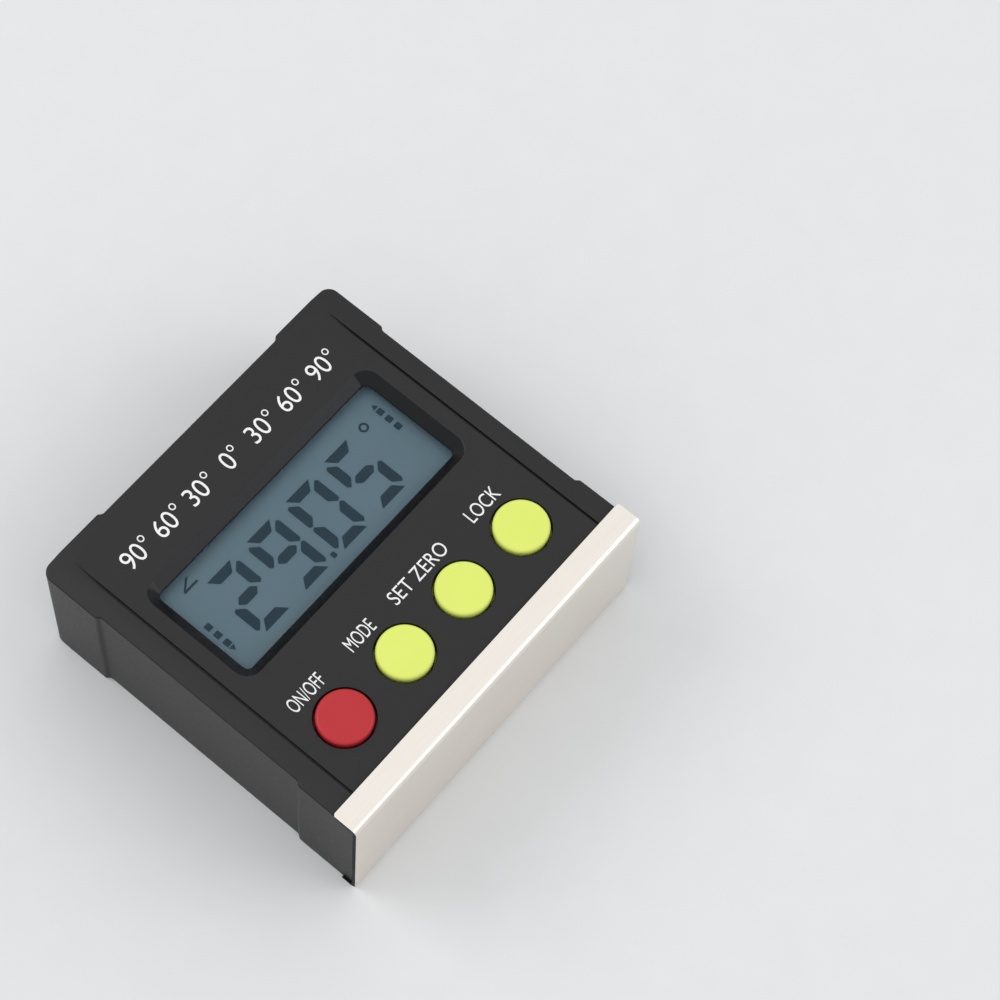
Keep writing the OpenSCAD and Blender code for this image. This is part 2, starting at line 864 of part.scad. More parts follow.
front_housing();
rear_cover();
base_channel();
display_window();
lcd_panel();
display_frame();
contact_strip(1);  // upper_contact_strip
contact_strip(-1);  // lower_contact_strip
main_board();
board_block(controller_x, controller_size, "#2A2B2D");  // controller_chip
board_block(sensor_x, sensor_size, "#353638");  // tilt_sensor
board_block(crystal_x, crystal_size, "#C4C6C8");  // timing_crystal
board_capacitors();
button_cap(0);  // power_button
button_cap(1);  // unit_button
button_cap(2);  // calibrate_button
button_cap(3);  // hold_button
push_switch(0);  // power_switch
push_switch(1);  // unit_switch
push_switch(2);  // calibrate_switch
push_switch(3);  // hold_switch
plunger(0);  // power_plunger
plunger(1);  // unit_plunger
plunger(2);  // calibrate_plunger
plunger(3);  // hold_plunger
battery_door();
battery(1, -1);  // upper_battery
battery(-1, 1);  // lower_battery
bridge_contact();
end_contact(1);  // positive_contact
end_contact(-1);  // negative_contact
coil(1, 1);  // bridge_spring
coil(-1, -1);  // negative_spring
magnet(-1);  // left_magnet
magnet(1);  // right_magnet
cover_screws();
board_screws();
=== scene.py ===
from math import radians

import bmesh
import bpy
from mathutils import Matrix, Vector


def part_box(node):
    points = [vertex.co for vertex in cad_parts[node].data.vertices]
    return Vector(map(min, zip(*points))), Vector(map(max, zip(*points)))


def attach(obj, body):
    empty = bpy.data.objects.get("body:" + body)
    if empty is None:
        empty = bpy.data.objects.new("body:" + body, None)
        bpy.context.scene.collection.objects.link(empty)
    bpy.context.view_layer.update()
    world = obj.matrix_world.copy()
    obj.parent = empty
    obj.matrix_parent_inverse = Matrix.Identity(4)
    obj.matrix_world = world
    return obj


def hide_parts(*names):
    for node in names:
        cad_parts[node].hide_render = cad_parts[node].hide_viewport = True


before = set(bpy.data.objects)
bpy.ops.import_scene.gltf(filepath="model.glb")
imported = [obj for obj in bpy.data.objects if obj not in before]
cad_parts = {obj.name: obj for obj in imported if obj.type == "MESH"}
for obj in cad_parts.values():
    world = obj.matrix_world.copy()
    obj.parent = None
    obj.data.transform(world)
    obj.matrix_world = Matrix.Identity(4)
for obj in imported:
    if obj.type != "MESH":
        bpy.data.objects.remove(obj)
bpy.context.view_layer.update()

# Camera: the gauge lies on its back and is seen from above, over its lower left corner.
# The picture is square, and the camera is tilted a little about its own axis.
# It stands about 0.4 m away, so the far side of the gauge looks only slightly smaller.
MM = 0.001
camera = bpy.data.objects.new("camera", bpy.data.cameras.new("camera"))
bpy.context.scene.collection.objects.link(camera)
camera.data.lens = 109.34
camera.data.sensor_width = 36.0
camera.data.clip_start = 0.01
camera.matrix_world = (
    Matrix.Translation(Vector((-114.554, -98.542, 372.645)) * MM)
    @ Matrix.Rotation(radians(-56.495), 4, "Z")
    @ Matrix.Rotation(radians(90.0 - 65.634), 4, "X")
    @ Matrix.Rotation(radians(7.006), 4, "Z")
)
bpy.context.scene.camera = camera


# Measuring base: one strip of stainless sheet, cut, then folded up at its front and rear edges.
# It is bonded round the foot of the housing, and its outer face is ground flat and brushed.
def linear(code):
    """Turns an sRGB hex colour into the linear colour that shaders take."""
    parts = [int(code[i : i + 2], 16) / 255.0 for i in (1, 3, 5)]
    return [c / 12.92 if c <= 0.04045 else ((c + 0.055) / 1.055) ** 2.4 for c in parts] + [1.0]


def add(finish, kind, inputs, **settings):
    """Adds one shader node with its settings, and sets or links its sockets."""
    made = finish.node_tree.nodes.new(kind)
    for name, value in settings.items():
        setattr(made, name, value)
    for name, value in inputs.items():
        if isinstance(value, bpy.types.NodeSocket):
            finish.node_tree.links.new(value, made.inputs[name])
        else:
            made.inputs[name].default_value = value
    return made


def blank_finish(name):
    """An empty material that the nodes of one finish go into."""
    finish = bpy.data.materials.new(name)
    finish.use_nodes = True
    finish.node_tree.nodes.clear()
    return finish


def rolled_metal(name, dark, pale, rough, line_mm, bump):
    """Sheet or wire metal: fine drawn lines along X that vary its tone, gloss and surface."""
    finish = blank_finish(name)
    place = add(finish, "ShaderNodeTexCoord", {})
    drawn = add(
        finish,
        "ShaderNodeMapping",
        {"Vector": place.outputs["Object"], "Scale": (0.02, 1.0, 1.0)},
    )
    lines = add(
        finish,
        "ShaderNodeTexNoise",
        {"Vector": drawn.outputs["Vector"], "Scale": 1.0 / (line_mm * MM), "Detail": 3.0},
    )
    cloud = add(
        finish,
        "ShaderNodeTexNoise",
        {"Vector": place.outputs["Object"], "Scale": 1.0 / (9.0 * MM), "Detail": 2.0},
    )
    tone = add(
        finish,
        "ShaderNodeMix",
        {0: lines.outputs["Fac"], 6: linear(dark), 7: linear(pale)},
        data_type="RGBA",
    )
    gloss = add(
        finish,
        "ShaderNodeMapRange",
        {
            "Value": cloud.outputs["Fac"],
            "From Min": 0.3,
            "From Max": 0.7,
            "To Min": rough[0],
            "To Max": rough[1],
        },
    )
    relief = add(
        finish,
        "ShaderNodeBump",
        {"Height": lines.outputs["Fac"], "Strength": bump, "Distance": 0.02 * MM},
    )
    metal = add(
        finish,
        "ShaderNodeBsdfPrincipled",
        {
            "Base Color": tone.outputs[2],
            "Metallic": 1.0,
            "Roughness": gloss.outputs["Result"],
            "Normal": relief.outputs["Normal"],
        },
    )
    add(finish, "ShaderNodeOutputMaterial", {"Surface": metal.outputs["BSDF"]})
    return finish


def softened(name, body, finish, edge_mm, share=lambda start, end: 1.0):
    """A merged copy of a CAD solid, shown in its place, its sharp edges rounded by a share of a radius."""
    mesh = bpy.data.meshes.new(name + "_form")
    form = bmesh.new()
    form.from_mesh(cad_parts[name].data)
    bmesh.ops.remove_doubles(form, verts=form.verts, dist=0.0005 * MM)
    bmesh.ops.dissolve_limit(form, angle_limit=radians(0.4), verts=form.verts, edges=form.edges)
    for face in form.faces:
        face.smooth = True
    weight = form.edges.layers.float.new("bevel_weight_edge")
    for edge in form.edges:
        if len(edge.link_faces) == 2 and edge.calc_face_angle() > radians(35.0):
            edge[weight] = share(edge.verts[0].co / MM, edge.verts[1].co / MM)
            edge.smooth = edge[weight] > 0.0
    form.to_mesh(mesh)
    form.free()
    if "custom_normal" in mesh.attributes:
        mesh.attributes.remove(mesh.attributes["custom_normal"])
    piece = bpy.data.objects.new(name + "_form", mesh)
    bpy.context.scene.collection.objects.link(piece)
    rounding = piece.modifiers.new("edge_radius", "BEVEL")
    rounding.width = edge_mm * MM
    rounding.segments = 2
    rounding.limit_method = "WEIGHT"
    rounding.use_clamp_overlap = False
    rounding.harden_normals = True
    mesh.materials.clear()
    mesh.materials.append(finish)
    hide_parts(name)
    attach(piece, body)
    return piece


# Brushed stainless steel: it looks pale and slightly warm, with lines that soften its reflections.
# Real lines are about 0.03 mm apart, drawn here at 0.12 mm so that they show.
brushed_stainless = rolled_metal(
    "brushed_stainless", "#EAE3DA", "#F5EEE5", (0.29, 0.36), 0.12, 0.1
)
# Cut ends and inner faces: painted shade. They are made nearly black, so the sheet is outlined by a dark
# line where it meets the housing, standing in for the shade in the gap between sheet and housing.
painted_seam_shade = rolled_metal("painted_seam_shade", "#191918", "#242322", (0.55, 0.65), 0.12, 0.1)
base_form = softened("base_channel", "housing", brushed_stainless, 0.07)
base_form.data.materials.append(painted_seam_shade)
base_low, base_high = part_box("base_channel")
base_mid = (base_low[2] + base_high[2]) / 2.0
# Faces that turn inwards and the cut ends take the painted seam shade.
for face in base_form.data.polygons:
    inside = face.normal.y > 0.5 or face.normal.z * (face.center.z - base_mid) < 0.0
    face.material_index = int(inside or abs(face.normal.x) > 0.9)


# Bar magnets: two pressed and sintered blocks, ground square and plated with nickel.
# They are glued into pockets of the housing, right behind the measuring face.
# Plated nickel looks bright and a little yellow, with soft flow lines drawn at 0.3 mm so that they show.
plated_nickel = rolled_metal("plated_nickel", "#B9B6AE", "#D2CFC8", (0.18, 0.26), 0.3, 0.05)
for name in ("left_magnet", "right_magnet"):
    softened(name, "housing", plated_nickel, 0.2)


# Housing: one moulded ABS shell with the panel, the display's sloped mouth and the corner pads.
# The mould is spark-eroded, so the shell comes out with a fine, even matt grain.
def moulded_plastic(name, dark, pale, rough, grain_mm, bump, shine=0.5):
    """Moulded plastic: a faint flow in its tone and a spark-eroded grain in its surface."""
    finish = blank_finish(name)
    place = add(finish, "ShaderNodeTexCoord", {})
    flow = add(
        finish,
        "ShaderNodeTexNoise",
        {"Vector": place.outputs["Object"], "Scale": 1.0 / (6.0 * MM), "Detail": 4.0},
    )
    grain = add(
        finish,
        "ShaderNodeTexNoise",
        {"Vector": place.outputs["Object"], "Scale": 1.0 / (grain_mm * MM), "Detail": 2.0},
    )
    tone = add(
        finish,
        "ShaderNodeMix",
        {0: flow.outputs["Fac"], 6: linear(dark), 7: linear(pale)},
        data_type="RGBA",
    )
    gloss = add(
        finish,
        "ShaderNodeMapRange",
        {
            "Value": grain.outputs["Fac"],
            "From Min": 0.3,
            "From Max": 0.7,
            "To Min": rough[0],
            "To Max": rough[1],
        },
    )
    relief = add(
        finish,
        "ShaderNodeBump",
        {"Height": grain.outputs["Fac"], "Strength": bump, "Distance": 0.02 * MM},
    )
    plastic = add(
        finish,
        "ShaderNodeBsdfPrincipled",
        {
            "Base Color": tone.outputs[2],
            "Roughness": gloss.outputs["Result"],
            "Normal": relief.outputs["Normal"],
            "Specular IOR Level": shine,
        },
    )
    add(finish, "ShaderNodeOutputMaterial", {"Surface": plastic.outputs["BSDF"]})
    return finish


# Black ABS with a spark-eroded grain of about 0.1 mm, drawn here at 0.3 mm so that it shows.
black_abs = moulded_plastic("black_abs", "#131212", "#181717", (0.44, 0.52), 0.3, 0.08, 0.4)
# The mouth of the display is polished in the mould, so its slopes look deeper black than the panel.
polished_abs = moulded_plastic("polished_abs", "#101114", "#141518", (0.14, 0.2), 0.3, 0.02, 0.22)


# Places on the housing, in millimetres: the seat of the base, the grooves and the outer walls.
seat_y, flange_y, flange_z, rear_z = -25.0, -22.2, 21.3, 1.2
groove_x, groove_half, groove_z = 23.7, 0.3, 20.5
outer_x, outer_y, inner_share = 26.5, 25.5, 0.4


def housing_share(start, end):
    """Outer edges take the full radius, inner ones less; the base's seat and the grooves stay crisp."""
    ends = (start, end)
    if all(p.y < seat_y or p.y < flange_y and (p.z > flange_z or p.z < rear_z) for p in ends):
        return 0.0
    if all(abs(abs(p.x) - groove_x) < groove_half and p.z > groove_z for p in ends):
        return 0.0
    return 1.0 if all(abs(p.x) > outer_x or p.y > outer_y for p in ends) else inner_share


housing_form = softened("front_housing", "housing", black_abs, 0.25, housing_share)
housing_form.data.materials.append(polished_abs)
mouth_x, mouth_z = 22.5 * MM, 20.0 * MM
for face in housing_form.data.polygons:
    sloped = 0.3 < face.normal.z < 0.95
    in_mouth = abs(face.center.x) < mouth_x and face.center.z > mouth_z
    face.material_index = int(sloped and in_mouth)


# Printing on the panel: a row of plain degree numbers and a word over each key.
# White ink is pad-printed on the finished panel and stands about 0.02 mm up.
panel_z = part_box("front_housing")[1][2]
ink_mm = 0.02
# White ink looks chalky and even, with a fine grain drawn at 0.25 mm so that it shows.
white_ink = moulded_plastic("white_ink", "#DADBDA", "#F0F0EE", (0.5, 0.65), 0.25, 0.1)


def printed(name, words, left, right, foot, height):
    """One printed word on the panel, stretched between two places along X, in millimetres."""
    letters = bpy.data.curves.new(name, "FONT")
    letters.body = words
    letters.offset = -0.004
    letters.extrude = 0.01
    drawn = bpy.data.objects.new(name + "_drawn", letters)
    bpy.context.scene.collection.objects.link(drawn)
    mesh = bpy.data.meshes.new_from_object(drawn.evaluated_get(bpy.context.evaluated_depsgraph_get()))
    bpy.data.objects.remove(drawn)
    ink = bmesh.new()
    ink.from_mesh(mesh)
    bmesh.ops.remove_doubles(ink, verts=ink.verts, dist=0.001)
    low = [min(v.co[i] for v in ink.verts) for i in range(3)]
    high = [max(v.co[i] for v in ink.verts) for i in range(3)]
    bmesh.ops.translate(ink, verts=ink.verts, vec=[-c for c in low])
    wanted = ((right - left) * MM, height * MM, ink_mm * MM)
    size = [wanted[i] / (high[i] - low[i]) for i in range(3)]
    bmesh.ops.scale(ink, verts=ink.verts, vec=size)
    bmesh.ops.translate(ink, verts=ink.verts, vec=(left * MM, foot * MM, panel_z))
    bmesh.ops.recalc_face_normals(ink, faces=ink.faces)
    ink.to_mesh(mesh)
    ink.free()
    mesh.name = name
    mesh.materials.clear()
    mesh.materials.append(white_ink)
    piece = bpy.data.objects.new(name, mesh)
    bpy.context.scene.collection.objects.link(piece)
    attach(piece, "housing")
    return piece


scale_half, scale_foot, scale_height = 17.5, 17.5, 2.8
number_width, single_width = 4.4, 2.7
for i in range(-3, 4):
    half = (number_width if i else single_width) / 2.0
    place = i * scale_half / 3.0
    words = "%d°" % abs(30 * i)
    printed("scale_%d" % (i + 3), words, place - half, place + half, scale_foot, scale_height)

for name, words, left, right in (
    ("power_word", "ON/OFF", -20.5, -14.8),
    ("mode_word", "MODE", -9.8, -5.3),
    ("zero_word", "SET ZERO", -1.5, 8.6),
    ("lock_word", "LOCK", 13.4, 18.8),
):
    printed(name, words, left, right, -10.4, 2.0)


# Display: a reflective liquid-crystal cell of two glasses with polariser films and a matt backing.
# It is held in a moulded frame behind the panel, and two rubber strips join it to the board.
lcd_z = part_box("lcd_panel")[1][2]
# The unlit cell looks blue-grey and drifts a little in tint over its width.
grey_polariser = blank_finish("grey_polariser")
place = add(grey_polariser, "ShaderNodeTexCoord", {})
drift = add(
    grey_polariser,
    "ShaderNodeTexNoise",
    {"Vector": place.outputs["Object"], "Scale": 1.0 / (14.0 * MM), "Detail": 2.0},
)
# The matt backing film has a fine sparkle of about 0.05 mm, drawn at 0.2 mm so that it shows.
sparkle = add(
    grey_polariser,
    "ShaderNodeTexNoise",
    {"Vector": place.outputs["Object"], "Scale": 1.0 / (0.2 * MM), "Detail": 1.0},
)
tint = add(
    grey_polariser,
    "ShaderNodeMix",
    {0: drift.outputs["Fac"], 6: linear("#60737F"), 7: linear("#6B7E8A")},
    data_type="RGBA",
)
film_gloss = add(
    grey_polariser,
    "ShaderNodeMapRange",
    {"Value": sparkle.outputs["Fac"], "To Min": 0.35, "To Max": 0.55},
)
film = add(
    grey_polariser,
    "ShaderNodeBsdfPrincipled",
    {"Base Color": tint.outputs[2], "Roughness": film_gloss.outputs["Result"], "Specular IOR Level": 0.3},
)
add(grey_polariser, "ShaderNodeOutputMaterial", {"Surface": film.outputs["BSDF"]})
softened("lcd_panel", "housing", grey_polariser, 0.1)

# Switched segments: dark blue-grey patches of liquid crystal, sharp at their etched edges.
dark_crystal = moulded_plastic("dark_crystal", "#20333F", "#293D4A", (0.4, 0.5), 0.3, 0.05, 0.2)
patches = bmesh.new()
patch_gap, patch_t = 0.01 * MM, 0.02 * MM


def patch(corners):
    """One flat segment of the display from its corners, in millimetres, just over the glass."""
    points = [patches.verts.new((x * MM, y * MM, lcd_z + patch_gap)) for x, y in corners]
    grown = bmesh.ops.extrude_face_region(patches, geom=[patches.faces.new(points)])
    raised = [v for v in grown["geom"] if isinstance(v, bmesh.types.BMVert)]
    bmesh.ops.translate(patches, verts=raised, vec=(0.0, 0.0, patch_t))


digit_w, digit_h = 5.76, 9.97
middle = digit_h / 2.0
# Each bar ends in a long mitre at its inner edge and a short one at its outer edge.
level = [(0.73, 0.0), (digit_w - 0.73, 0.0), (digit_w - 1.81, 1.41), (1.81, 1.41)]
upright = [(0.0, 1.08), (0.38, 0.71), (1.42, 1.66), (1.42, 3.98), (0.44, 4.93), (0.0, 4.64)]
centre = [
    (1.16, 0.0),
    (1.85, -0.71),
    (digit_w - 1.85, -0.71),
    (digit_w - 1.16, 0.0),
    (digit_w - 1.85, 0.71),
    (1.85, 0.71),
]
bars_of = {
    "a": [(x, digit_h - y) for x, y in level],
    "b": [(digit_w - x, digit_h - y) for x, y in upright],
    "c": [(digit_w - x, y) for x, y in upright],
    "d": level,
    "e": upright,
    "f": [(x, digit_h - y) for x, y in upright],
    "g": [(x, middle + y) for x, y in centre],
}
digit_left, digit_foot, digit_pitch = -14.79, 0.31, 7.43
for i, lit in enumerate(("abged", "abcdfg", "abcdef", "afgcd")):
    for letter in lit:
        patch([(digit_left + i * digit_pitch + x, digit_foot + y) for x, y in bars_of[letter]])

# Decimal point, and three level marks with a pointer at each edge: down at the left, up at the right.
square = [(-0.45, 0.0), (0.45, 0.0), (0.45, 1.0), (-0.45, 1.0)]
patch([(-0.66 + 0.78 * x, 0.43 + 0.85 * y) for x, y in square])
for x0, feet in ((-18.33, (5.64, 4.06, 2.5)), (18.4, (9.06, 7.56, 6.03))):
    for foot in feet:
        patch([(x0 + x, foot + y) for x, y in square])
patch([(-18.78, 2.32), (-17.88, 2.32), (-18.33, 1.57)])
patch([(17.95, 10.3), (18.85, 10.3), (18.4, 11.05)])

# Signs beside the number: a small angle at its upper left and a degree ring at its upper right.
angle_x, angle_y, stroke = -16.9, 11.3, 0.34
patch([
    (angle_x, angle_y),
    (angle_x + 2.4, angle_y),
    (angle_x + 2.4, angle_y + stroke),
    (angle_x + 0.48, angle_y + stroke),
    (angle_x + 2.0, angle_y + 1.5),
    (angle_x + 1.52, angle_y + 1.5),
    (angle_x, angle_y + stroke),
])
bmesh.ops.recalc_face_normals(patches, faces=patches.faces)
ring = bmesh.new()
ring_r, ring_half, ring_x, ring_y, ring_flat = 0.55 * MM, 0.16 * MM, 15.3 * MM, 9.7 * MM, 0.06
bmesh.ops.create_circle(ring, segments=4, radius=ring_half)
bmesh.ops.rotate(ring, verts=ring.verts, cent=(0, 0, 0), matrix=Matrix.Rotation(radians(90.0), 3, "X"))
bmesh.ops.translate(ring, verts=ring.verts, vec=(ring_r, 0.0, 0.0))
bmesh.ops.spin(
    ring,
    geom=ring.verts[:] + ring.edges[:],
    cent=(0, 0, 0),
    axis=(0, 0, 1),
    angle=radians(360.0),
    steps=32,
    use_merge=True,
)
bmesh.ops.scale(ring, verts=ring.verts, vec=(1.0, 1.0, ring_flat))
bmesh.ops.translate(ring, verts=ring.verts, vec=(ring_x, ring_y, lcd_z + patch_gap + patch_t / 2.0))
bmesh.ops.recalc_face_normals(ring, faces=ring.faces)


def settled(form, name):
    """A mesh of a built form with its corners and faces in a fixed order, the same in every run."""
    corners = sorted(form.verts, key=lambda v: [round(c / MM, 4) for c in v.co])
    rank = {corner: i for i, corner in enumerate(corners)}
    rows = []
    for face in form.faces:
        row = [rank[corner] for corner in face.verts]
        start = row.index(min(row))
        rows.append(row[start:] + row[:start])
    mesh = bpy.data.meshes.new(name)
    mesh.from_pydata([corner.co for corner in corners], [], sorted(rows))
    form.free()
    return mesh


for mesh in (settled(patches, "display_segments"), settled(ring, "degree_ring")):
    mesh.materials.append(dark_crystal)
    piece = bpy.data.objects.new(mesh.name, mesh)
    bpy.context.scene.collection.objects.link(piece)
    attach(piece, "housing")

# Clear window: a cut sheet of acrylic bonded behind the sloped mouth of the panel.
# It is coated against glare, so it mirrors little from above and more at a low angle.
# Seen close, a faint haze makes its reflections uneven.
clear_acrylic = blank_finish("clear_acrylic")
through = add(clear_acrylic, "ShaderNodeBsdfTransparent", {"Color": linear("#F4F7F7")})
place = add(clear_acrylic, "ShaderNodeTexCoord", {})
haze = add(
    clear_acrylic,
    "ShaderNodeTexNoise",
    {"Vector": place.outputs["Object"], "Scale": 1.0 / (8.0 * MM), "Detail": 3.0},
)
sheen = add(
    clear_acrylic,
    "ShaderNodeMapRange",
    {"Value": haze.outputs["Fac"], "To Min": 0.04, "To Max": 0.1},
)
mirrored = add(clear_acrylic, "ShaderNodeBsdfGlossy", {"Roughness": sheen.outputs["Result"]})
edge_on = add(clear_acrylic, "ShaderNodeFresnel", {"IOR": 1.2})
# Only the outer skin mirrors: light that leaves the sheet passes its far face unchanged.
sides = add(clear_acrylic, "ShaderNodeNewGeometry", {})
outer_skin = add(
    clear_acrylic,
    "ShaderNodeMath",
    {0: edge_on.outputs["Fac"], 1: sides.outputs["Backfacing"]},
    operation="SUBTRACT",
    use_clamp=True,
)
window_mix = add(
    clear_acrylic,
    "ShaderNodeMixShader",
    {0: outer_skin.outputs["Value"], 1: through.outputs["BSDF"], 2: mirrored.outputs["BSDF"]},
)
add(clear_acrylic, "ShaderNodeOutputMaterial", {"Surface": window_mix.outputs["Shader"]})


def dress(name, finish):
    """Gives a CAD solid that is shown as it is its finish."""
    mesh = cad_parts[name].data
    mesh.materials.clear()
    mesh.materials.append(finish)


dress("display_window", clear_acrylic)

# Frame and strips behind the panel: a moulded frame clips the display to the board.
# Two cut silicone strips with carbon layers are squeezed between the glass and the board.
# The frame's plastic looks dull black; its 0.1 mm grain is drawn at 0.3 mm so that it shows.
inner_black = moulded_plastic("inner_black", "#1A1A1B", "#232324", (0.5, 0.65), 0.3, 0.2)
# The strips look dark grey and rubbery, without a clear highlight.
grey_silicone = moulded_plastic("grey_silicone", "#4C535B", "#5C646C", (0.6, 0.75), 0.4, 0.1)
dress("display_frame", inner_black)
for name in ("upper_contact_strip", "lower_contact_strip"):
    dress(name, grey_silicone)


# Keys: four moulded caps, a red one for power and three yellow-green ones.
# Each is kept in by a collar behind the panel and stands on the plunger of a push switch.
# Red and yellow-green caps look satin and evenly coloured, with a soft highlight along the rim.
# Their mould texture of about 0.1 mm is drawn at 0.4 mm so that it shows.
red_key = moulded_plastic("red_key", "#AE2229", "#B6282F", (0.36, 0.44), 0.4, 0.05, 0.35)
lime_key = moulded_plastic("lime_key", "#D2DE66", "#D9E56E", (0.36, 0.44), 0.4, 0.05, 0.35)
# The plungers' unpainted plastic looks like pale ivory.
ivory_plastic = moulded_plastic("ivory_plastic", "#CFCABB", "#DDD9CC", (0.4, 0.5), 0.4, 0.1)
for key, finish, slot in (
    ("power", red_key, "red_key"),
    ("unit", lime_key, "green_key"),
    ("calibrate", lime_key, "green_key"),
    ("hold", lime_key, "green_key"),
):
    softened(key + "_button", key + "_key", finish, 0.05)
    dress(key + "_switch", inner_black)
    dress(key + "_plunger", ivory_plastic)


# Circuit board: glass-fibre laminate under green solder mask, with its parts soldered in a row.
# Copper tracks show through the glossy mask as paler green lines.
track_pitch, track_share = 3.0 * MM, 0.06
green_board = blank_finish("green_board")
place = add(green_board, "ShaderNodeTexCoord", {})
tracks = add(
    green_board,
    "ShaderNodeTexBrick",
    {
        "Vector": place.outputs["Object"],
        "Color1": linear("#1B5A38"),
        "Color2": linear("#1F6440"),
        "Mortar": linear("#2F8255"),
        "Scale": 1.0 / track_pitch,
        "Mortar Size": track_share,
    },
)
mask = add(
    green_board,
    "ShaderNodeBsdfPrincipled",
    {"Base Color": tracks.outputs["Color"], "Roughness": 0.3},
)
add(green_board, "ShaderNodeOutputMaterial", {"Surface": mask.outputs["BSDF"]})
dress("main_board", green_board)
# Chip resin looks dull and nearly black; the capacitors' fired ceramic looks like matt tan clay.
chip_resin = moulded_plastic("chip_resin", "#1C1C1E", "#262628", (0.5, 0.6), 0.15, 0.2)
fired_ceramic = moulded_plastic("fired_ceramic", "#A98B63", "#B99B73", (0.5, 0.6), 0.2, 0.1)
for name in ("controller_chip", "tilt_sensor"):
    dress(name, chip_resin)
dress("board_capacitors", fired_ceramic)
dress("timing_crystal", plated_nickel)


# Battery contacts: stamped plates and conical coils of spring steel wire, nickel plated.
# The plates slide into slots in the bay's walls, and two of them have tails soldered to the board.
for name in ("bridge_contact", "positive_contact", "negative_contact"):
    softened(name, "housing", plated_nickel, 0.06)
for name in ("bridge_spring", "negative_spring"):
    dress(name, plated_nickel)


# Battery cells: two AAA cells, each a drawn steel can in a shrunk film sleeve with bare ends.
# The sleeve looks dark blue-grey and slightly glossy, with a copper-coloured band at the nub.
# They lie side by side in the tray, pointing opposite ways, between the contacts.
band_x, bare_x = 10.0 * MM, 23.0 * MM


def sleeve_finish(name, nub_side):
    """A shrunk film sleeve, coloured along the cell, that leaves the steel ends bare."""
    finish = blank_finish(name)
    place = add(finish, "ShaderNodeTexCoord", {})
    along = add(finish, "ShaderNodeSeparateXYZ", {"Vector": place.outputs["Object"]})
    scuffs = add(
        finish,
        "ShaderNodeTexNoise",
        {"Vector": place.outputs["Object"], "Scale": 1.0 / (1.5 * MM), "Detail": 4.0},
    )
    band = add(
        finish,
        "ShaderNodeMath",
        {0: along.outputs["X"], 1: nub_side * band_x},
        operation="GREATER_THAN" if nub_side > 0 else "LESS_THAN",
    )
    tone = add(
        finish,
        "ShaderNodeMix",
        {0: band.outputs["Value"], 6: linear("#2B3540"), 7: linear("#B0703C")},
        data_type="RGBA",
    )
    gloss = add(
        finish,
        "ShaderNodeMapRange",
        {
            "Value": scuffs.outputs["Fac"],
            "From Min": 0.3,
            "From Max": 0.7,
            "To Min": 0.29,
            "To Max": 0.4,
        },
    )
    film = add(
        finish,
        "ShaderNodeBsdfPrincipled",
        {"Base Color": tone.outputs[2], "Roughness": gloss.outputs["Result"], "Metallic": 0.3},
    )
    add(finish, "ShaderNodeOutputMaterial", {"Surface": film.outputs["BSDF"]})
    return finish


for name, side in (("upper_battery", -1), ("lower_battery", 1)):
    piece = softened(name, "housing", sleeve_finish(name + "_sleeve", side), 0.1)
    piece.data.materials.append(plated_nickel)
    for face in piece.data.polygons:
        if abs(face.normal.x) > 0.6 or side * face.center.x > bare_x:
            face.material_index = 1


# Rear cover and battery door: two more mouldings of the housing's plastic.
# The cover is held by four screws in counterbores, and the door by its two hooks and its latch.
softened("rear_cover", "housing", black_abs, 0.12)
softened("battery_door", "door", black_abs, 0.1)


# Screws: small pan-headed steel screws with a cross recess, zinc plated.
# Four hold the cover to the posts and three hold the board behind the panel.
# Zinc plating looks mid grey and softly shiny, with flow lines drawn at 0.4 mm so that they show.
zinc_plate = rolled_metal("zinc_plate", "#84878B", "#A9ACB0", (0.3, 0.42), 0.4, 0.1)
softened("board_screws", "housing", zinc_plate, 0.1)
screw_low, screw_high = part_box("cover_screws")
head_r, head_h, shank_r, screw_l = 1.9 * MM, 1.3 * MM, 1.0 * MM, screw_high[2] - screw_low[2]
key_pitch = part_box("unit_button")[0][0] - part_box("power_button")[0][0]
screw = bmesh.new()
ridge, ridges = 0.5 * MM, 11
outline = [
    (head_r * 0.82, 0.0),
    (head_r * 0.96, 0.18 * MM),
    (head_r, 0.4 * MM),
    (head_r, head_h),
    (shank_r * 0.8, head_h),
]
for k in range(ridges):
    foot = head_h + 0.1 * MM + k * ridge
    outline += [(shank_r * 0.8, foot), (shank_r, foot + ridge / 2.0)]
outline += [(shank_r * 0.5, screw_l), (0.0, screw_l)]
corners = [screw.verts.new((r, 0.0, z)) for r, z in outline]
profile = [screw.edges.new(pair) for pair in zip(corners, corners[1:])]
bmesh.ops.spin(
    screw,
    geom=corners + profile,
    cent=(0, 0, 0),
    axis=(0, 0, 1),
    angle=radians(360.0),
    steps=32,
    use_merge=True,
)
bmesh.ops.remove_doubles(screw, verts=screw.verts, dist=0.001 * MM)
rim = [edge for edge in screw.edges if edge.is_boundary]
arm, half, recess_d, taper = 1.05 * MM, 0.26 * MM, 0.75 * MM, 0.6
cross = [
    screw.verts.new((x, y, 0.0))
    for x, y in (
        (arm, -half), (arm, half), (half, half), (half, arm), (-half, arm), (-half, half),
        (-arm, half), (-arm, -half), (-half, -half), (-half, -arm), (half, -arm), (half, -half),
    )
]
slot_edges = [screw.edges.new((cross[k - 1], cross[k])) for k in range(12)]
bmesh.ops.triangle_fill(screw, edges=rim + slot_edges, use_beauty=True)
sunk = bmesh.ops.extrude_edge_only(screw, edges=slot_edges)["geom"]
floor_verts = [v for v in sunk if isinstance(v, bmesh.types.BMVert)]
bmesh.ops.translate(screw, verts=floor_verts, vec=(0.0, 0.0, recess_d))
bmesh.ops.scale(screw, verts=floor_verts, vec=(taper, taper, 1.0))
bmesh.ops.contextual_create(screw, geom=[e for e in sunk if isinstance(e, bmesh.types.BMEdge)])
bmesh.ops.recalc_face_normals(screw, faces=screw.faces)
one_screw = settled(screw, "one_screw")
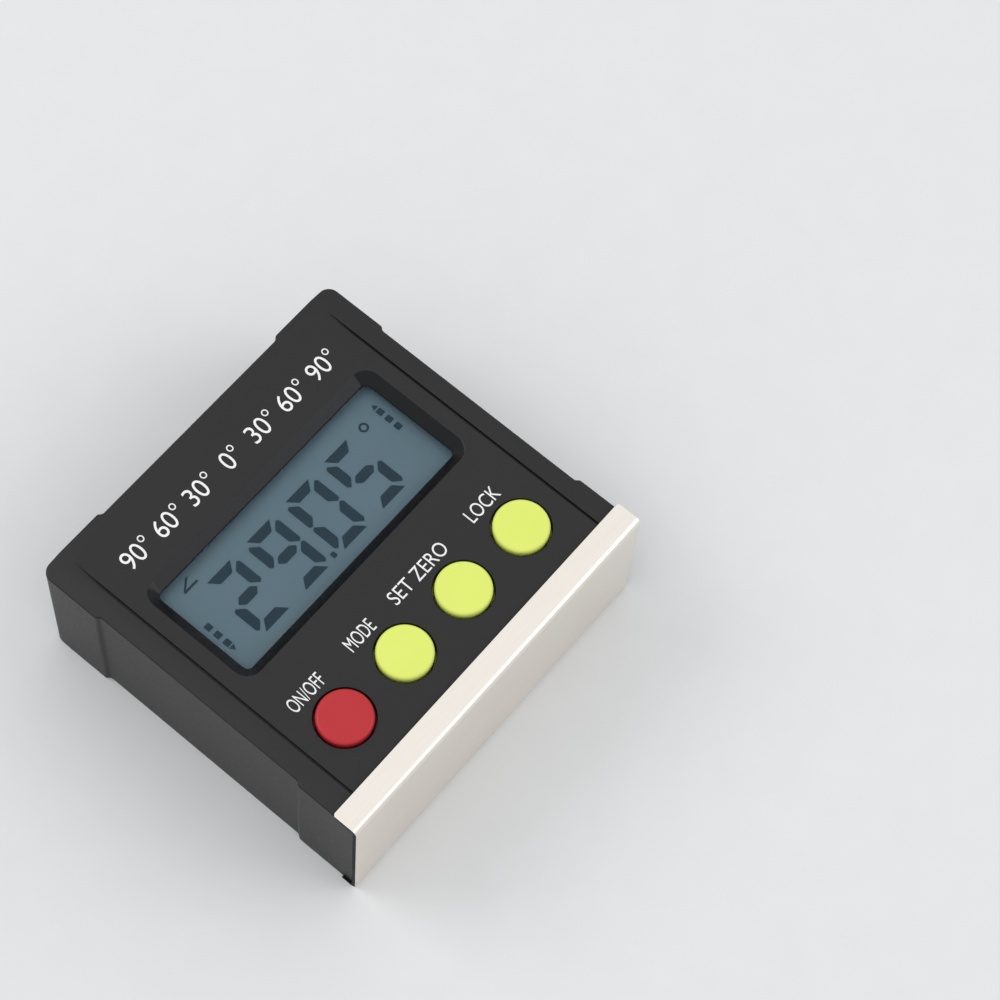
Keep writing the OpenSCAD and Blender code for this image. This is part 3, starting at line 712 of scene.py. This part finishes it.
gathered = bmesh.new()
for x, y, turn in (
    (screw_low[0] + head_r, screw_high[1] - head_r, 20.0),
    (screw_high[0] - head_r, screw_high[1] - head_r, 65.0),
    (-key_pitch, screw_low[1] + head_r, 5.0),
    (key_pitch, screw_low[1] + head_r, 40.0),
):
    before = len(gathered.verts)
    gathered.from_mesh(one_screw)
    gathered.verts.ensure_lookup_table()
    added = gathered.verts[before:]
    bmesh.ops.rotate(gathered, verts=added, cent=(0, 0, 0), matrix=Matrix.Rotation(radians(turn), 3, "Z"))
    bmesh.ops.translate(gathered, verts=added, vec=(x, y, screw_low[2]))
screw_mesh = bpy.data.meshes.new("cover_screw_set")
gathered.to_mesh(screw_mesh)
gathered.free()
screw_mesh.materials.append(zinc_plate)
piece = bpy.data.objects.new("cover_screw_set", screw_mesh)
bpy.context.scene.collection.objects.link(piece)
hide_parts("cover_screws")
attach(piece, "housing")


# Setting: a plain pale floor of painted board that the gauge lies on.
# Soft light comes from the room around, brighter overhead, and from two large panels.
# The floor looks pale grey and even, and fades to a soft shadow beside the gauge.
floor_half, floor_drop = 1.5, 0.02 * MM
floor_mesh = bpy.data.meshes.new("floor")
sheet = bmesh.new()
bmesh.ops.create_grid(sheet, x_segments=1, y_segments=1, size=floor_half)
bmesh.ops.translate(sheet, verts=sheet.verts, vec=(0.0, 0.0, -floor_drop))
sheet.to_mesh(floor_mesh)
sheet.free()
floor = bpy.data.objects.new("floor", floor_mesh)
bpy.context.scene.collection.objects.link(floor)
floor_mesh.materials.append(
    moulded_plastic("pale_floor", "#D6D7D8", "#DADBDC", (0.6, 0.7), 4.0, 0.02, 0.2)
)

world = bpy.data.worlds.new("studio")
world.use_nodes = True
glow = world.node_tree.nodes["Background"]
glow.inputs["Color"].default_value = linear("#F4F5F6")
toward = add(world, "ShaderNodeTexCoord", {})
upward = add(world, "ShaderNodeSeparateXYZ", {"Vector": toward.outputs["Generated"]})
ceiling = add(
    world,
    "ShaderNodeMapRange",
    {"Value": upward.outputs["Z"], "From Min": 0.0, "From Max": 1.0, "To Min": 0.7, "To Max": 1.12},
)
world.node_tree.links.new(ceiling.outputs["Result"], glow.inputs["Strength"])
bpy.context.scene.world = world
bpy.context.scene.view_settings.view_transform = "Standard"

for name, spot, aim, size, power in (
    ("top_panel", (-0.3, 0.7, 0.8), (0.0, 0.0, 0.0), 0.6, 3.0),
    ("side_panel", (0.5, -0.7, 0.6), (0.0, 0.0, 0.0), 0.6, 2.0),
):
    lamp = bpy.data.lights.new(name, "AREA")
    lamp.size = size
    lamp.energy = power
    holder = bpy.data.objects.new(name, lamp)
    bpy.context.scene.collection.objects.link(holder)
    holder.location = spot
    holder.rotation_euler = (Vector(aim) - Vector(spot)).to_track_quat("-Z", "Y").to_euler()
